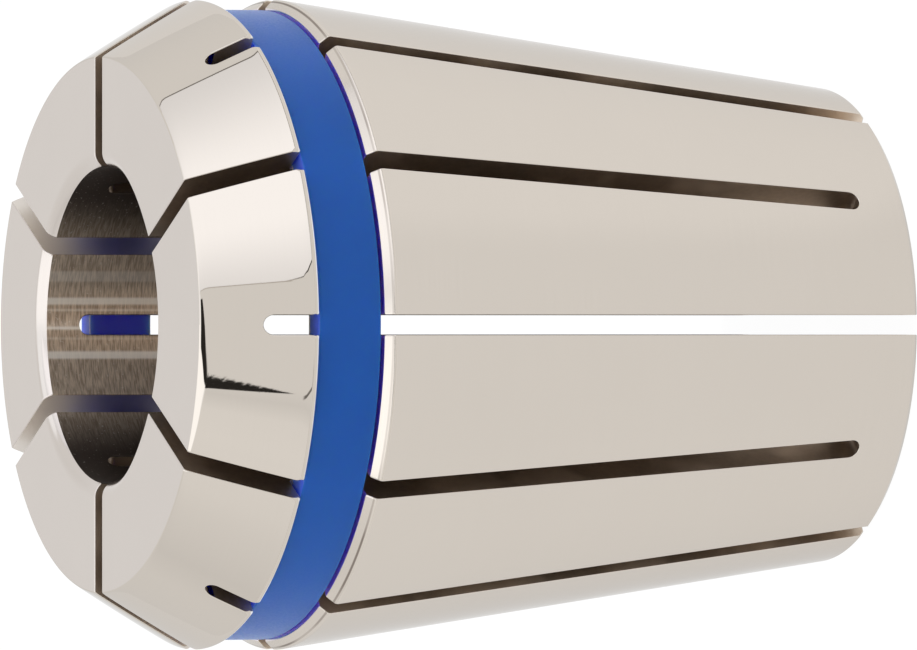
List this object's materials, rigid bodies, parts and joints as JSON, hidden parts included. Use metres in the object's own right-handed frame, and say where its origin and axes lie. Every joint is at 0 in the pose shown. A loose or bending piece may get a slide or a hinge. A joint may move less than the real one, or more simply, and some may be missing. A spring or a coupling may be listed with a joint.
{
  "type": "er collet",
  "caption": "Slotted spring steel collet with a seat cone, a nut cone, a straight clamping bore and a coloured band in the groove between the cones.",
  "frame": {"origin": "centre of the small rear face, on the collet's axis", "axes": "+Z along the axis from the rear face to the front face, where the tool goes in; the slots cut from the front face lie at 15 degrees from +X and every 60 degrees on, and those cut from the rear face at 45 degrees and every 60 degrees on, so +X and +Y each run midway between two slots"},
  "size_m": [0.033, 0.033, 0.04],
  "materials": {
    "ground_spring_steel": "fine ground and polished, honed bore",
    "blue_band": "satin"
  },
  "bodies": {
    "root": {"collet_body": "ground_spring_steel", "groove_band": "blue_band"}
  },
  "joints": []
}
